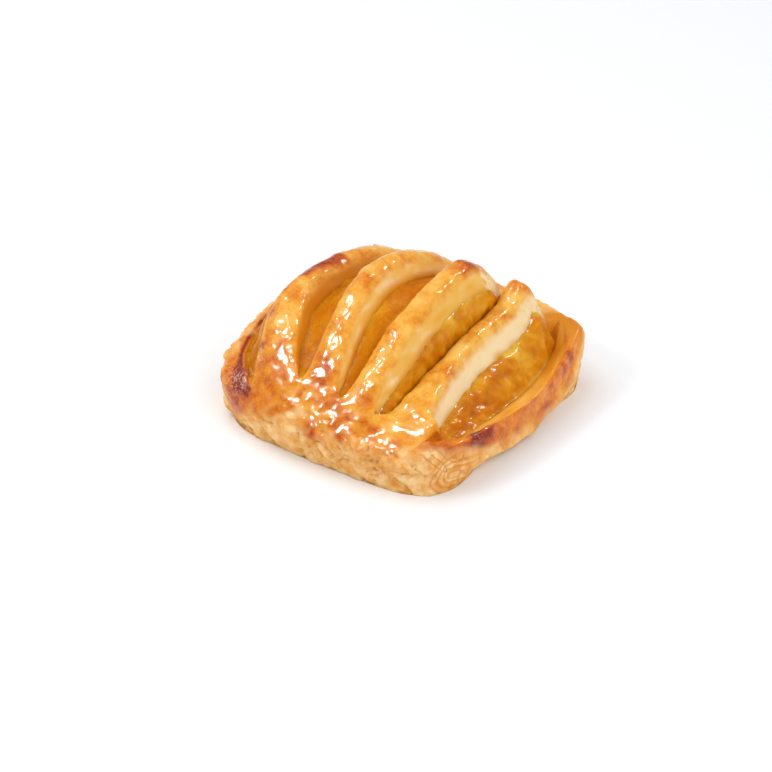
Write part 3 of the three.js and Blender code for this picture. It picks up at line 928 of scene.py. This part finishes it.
class Nodes:
    """A material's nodes, added and linked one after the other."""

    def __init__(self, name):
        self.material = bpy.data.materials.new(name)
        self.material.use_nodes = True
        self.tree = self.material.node_tree
        self.shader = self.tree.nodes["Principled BSDF"]

    def add(self, kind, inputs=None, **settings):
        node = self.tree.nodes.new(kind)
        for key, value in settings.items():
            setattr(node, key, value)
        for key, value in (inputs or {}).items():
            self.put(node.inputs[key], value)
        return node

    def put(self, socket, value):
        if isinstance(value, bpy.types.NodeSocket):
            self.tree.links.new(value, socket)
        else:
            socket.default_value = value

    def layer(self, name):
        return self.add("ShaderNodeAttribute", attribute_name=name).outputs["Fac"]

    def noise(self, pitch, detail=2, roughness=0.5):
        """Noise from 0 to 1 with bumps about a pitch in millimetres apart."""
        place = self.add("ShaderNodeTexCoord").outputs["Object"]
        inputs = {"Vector": place, "Scale": 1 / (pitch * MM), "Detail": detail, "Roughness": roughness}
        return self.add("ShaderNodeTexNoise", inputs).outputs["Fac"]

    def ramp(self, share, stops):
        """Colours between stops, each a share and a colour as on screen."""
        node = self.add("ShaderNodeValToRGB", {"Fac": share})
        elements = node.color_ramp.elements
        while len(elements) < len(stops):
            elements.new(0.5)
        for element, (place, colour) in zip(elements, stops):
            element.position = place
            element.color = linear(*colour)
        return node.outputs["Color"]

    def mixed(self, share, low, high):
        """Mix of two colours."""
        node = self.add("ShaderNodeMix", data_type="RGBA")
        self.put(node.inputs["Factor"], share)
        colours = [socket for socket in node.inputs if socket.type == "RGBA"]
        self.put(colours[0], low)
        self.put(colours[1], high)
        return next(socket for socket in node.outputs if socket.type == "RGBA")

    def ranged(self, value, low, high):
        """A value from 0 to 1 brought to the range from low to high."""
        inputs = {"Value": value, "To Min": low, "To Max": high}
        return self.add("ShaderNodeMapRange", inputs).outputs["Result"]

    def grained(self, name, spread, **grain):
        """A layer, with noise of a spread to both sides added to it."""
        return self.sum(self.layer(name), self.ranged(self.noise(**grain), -spread, spread))

    def sum(self, first, second):
        return self.add("ShaderNodeMath", {0: first, 1: second}, operation="ADD").outputs["Value"]

    def bump(self, height, strength, distance):
        """A fine relief, as high as a distance in millimetres."""
        inputs = {"Height": height, "Strength": strength, "Distance": distance * MM}
        return self.add("ShaderNodeBump", inputs).outputs["Normal"]

    def set(self, **sockets):
        """Sockets of the shader, by their names with _ for a blank."""
        for name, value in sockets.items():
            self.put(self.shader.inputs[name.replace("_", " ")], value)


def crust_material():
    nodes = Nodes("glazed_puff_pastry")
    gloss = nodes.layer("gloss")
    browning = nodes.grained("browning", BROWN_GRAIN, pitch=0.9, detail=4, roughness=0.7)
    baked = nodes.ramp(browning, BAKED_COLOURS)
    paleness = nodes.grained("paleness", FACE_GRAIN, pitch=1.5, detail=3)
    face = nodes.ramp(paleness, FACE_COLOURS)
    face = nodes.mixed(nodes.layer("soaked"), face, linear(*SOAKED_COLOUR))
    dough = nodes.ramp(nodes.noise(pitch=3.6, detail=4, roughness=0.6), DOUGH_COLOURS)
    # painted shade in the creases and along the fold lines
    dough = nodes.mixed(nodes.layer("crease"), dough, linear(*CREASE_SHADE_COLOUR))
    # The frosted places get white speckles painted in as glints.
    frost = nodes.ranged(nodes.layer("frost"), 0, PAINTED_GLINT_SHARE)
    glint_speckle = nodes.ramp(nodes.noise(pitch=0.6, detail=3, roughness=0.6), GLINT_SPECKLES)
    glint_speckled = nodes.mixed(glint_speckle, baked, linear(*PAINTED_GLINT_COLOUR))
    baked = nodes.mixed(frost, baked, glint_speckled)
    colour = nodes.mixed(nodes.layer("wall"), nodes.mixed(nodes.layer("cut_face"), baked, face), dough)
    grain = nodes.ranged(nodes.layer("frost"), *CRUST_GRAIN)
    nodes.set(
        Base_Color=colour,
        Roughness=nodes.ranged(gloss, *CRUST_ROUGHNESS),
        Specular_IOR_Level=0.08,
        Coat_Weight=nodes.ranged(gloss, 0, CRUST_COAT),
        Coat_Roughness=COAT_ROUGHNESS,
        Subsurface_Weight=0.35,
        Subsurface_Radius=(1.0, 0.45, 0.15),
        Subsurface_Scale=2.5 * MM,
        Normal=nodes.bump(nodes.noise(pitch=0.45, detail=3), strength=grain, distance=0.12),
    )
    return nodes.material


def filling_material():
    nodes = Nodes("apple_filling")
    tone = nodes.grained("apple", FILLING_GRAIN, pitch=3, detail=3)
    nodes.set(
        Base_Color=nodes.ramp(tone, FILLING_COLOURS),
        Roughness=0.3,
        Specular_IOR_Level=0.05,
        Coat_Weight=nodes.ranged(nodes.layer("wet"), 0, FILLING_COAT),
        Coat_Roughness=COAT_ROUGHNESS,
        Subsurface_Weight=0.5,
        Subsurface_Radius=(2.0, 0.8, 0.2),
        Subsurface_Scale=2 * MM,
        Normal=nodes.bump(nodes.noise(pitch=0.9, detail=3), strength=0.7, distance=0.3),
    )
    return nodes.material


# The stage: a pale floor, soft lights and the camera

FLOOR_HALF = 3.0
FLOOR_COLOUR = (0.88, 0.9, 0.925, 1)
FLOOR_ROUGHNESS = 0.9
WORLD_STRENGTH = 0.5
CAMERA_AZIMUTH = math.radians(36)
CAMERA_ELEVATION = math.radians(32.7)
CAMERA_DISTANCE = 0.7
CAMERA_LENS = 130.6
CAMERA_ASIDE = Vector((-0.0043, 0.0022))  # of the line of sight, to the right and up

# The lights, each with azimuth, elevation, distance, size and power. The glints make only highlights,
# and the other lights make none.
LIGHTS = {
    "key": (-100, 62, 0.8, 0.6, 2.4),
    "front": (-42, 43, 0.7, 0.2, 1.0),
    "fill": (80, 40, 1.0, 1.0, 5.2),
}
GLINTS = {
    "shoulder_glint": (-42, 43, 0.7, 0.1, 4.6),
    "rib_glint": (-70, 57, 0.7, 0.07, 1.9),
    "right_glint": (-20, 70, 0.7, 0.1, 3.9),
    "far_glint": (155, 50, 0.7, 0.08, 2.0),
}


def camera_axes(azimuth, elevation):
    """Directions to the right, up and back of a camera that looks at the origin."""
    right = Vector((math.cos(azimuth), math.sin(azimuth), 0))
    back = Vector((
        math.sin(azimuth) * math.cos(elevation),
        -math.cos(azimuth) * math.cos(elevation),
        math.sin(elevation),
    ))
    return right, back.cross(right), back


def add_camera():
    right, up, back = camera_axes(CAMERA_AZIMUTH, CAMERA_ELEVATION)
    data = bpy.data.cameras.new("camera")
    data.lens = CAMERA_LENS
    camera = bpy.data.objects.new("camera", data)
    aside = CAMERA_ASIDE.x * right + CAMERA_ASIDE.y * up
    place = Vector(PLAN_MIDDLE * MM) + aside + CAMERA_DISTANCE * back
    turn = Matrix((right, up, back)).transposed().to_4x4()
    camera.matrix_world = Matrix.Translation(place) @ turn
    bpy.context.scene.collection.objects.link(camera)
    bpy.context.scene.camera = camera


def add_light(name, azimuth, elevation, distance, size, power, is_glint):
    """A light that faces the origin."""
    right, up, back = camera_axes(math.radians(azimuth), math.radians(elevation))
    data = bpy.data.lights.new(name, "AREA")
    data.size = size
    data.energy = power
    light = bpy.data.objects.new(name, data)
    turn = Matrix((right, up, back)).transposed().to_4x4()
    light.matrix_world = Matrix.Translation(distance * back) @ turn
    light.visible_diffuse = not is_glint
    light.visible_glossy = is_glint
    bpy.context.scene.collection.objects.link(light)


def add_stage():
    corners = [(-FLOOR_HALF, -FLOOR_HALF, 0), (FLOOR_HALF, -FLOOR_HALF, 0)]
    corners += [(FLOOR_HALF, FLOOR_HALF, 0), (-FLOOR_HALF, FLOOR_HALF, 0)]
    mesh = bpy.data.meshes.new("floor")
    mesh.from_pydata(corners, [], [(0, 1, 2, 3)])
    floor = bpy.data.objects.new("floor", mesh)
    bpy.context.scene.collection.objects.link(floor)
    nodes = Nodes("pale_floor")
    nodes.set(Base_Color=FLOOR_COLOUR, Roughness=FLOOR_ROUGHNESS)
    mesh.materials.append(nodes.material)
    world = bpy.data.worlds.new("studio")
    world.use_nodes = True
    background = world.node_tree.nodes["Background"]
    background.inputs["Color"].default_value = (1, 1, 1, 1)
    background.inputs["Strength"].default_value = WORLD_STRENGTH
    bpy.context.scene.world = world
    bpy.context.scene.view_settings.view_transform = "Standard"
    for name, values in LIGHTS.items():
        add_light(name, *values, is_glint=False)
    for name, values in GLINTS.items():
        add_light(name, *values, is_glint=True)


def dress(piece, node, material):
    piece.data.materials.clear()
    piece.data.materials.append(material)
    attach(piece, "root")
    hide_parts(node)


add_camera()
add_stage()
dress(crust_piece(), "pastry", crust_material())
dress(filling_piece(), "apple_filling", filling_material())
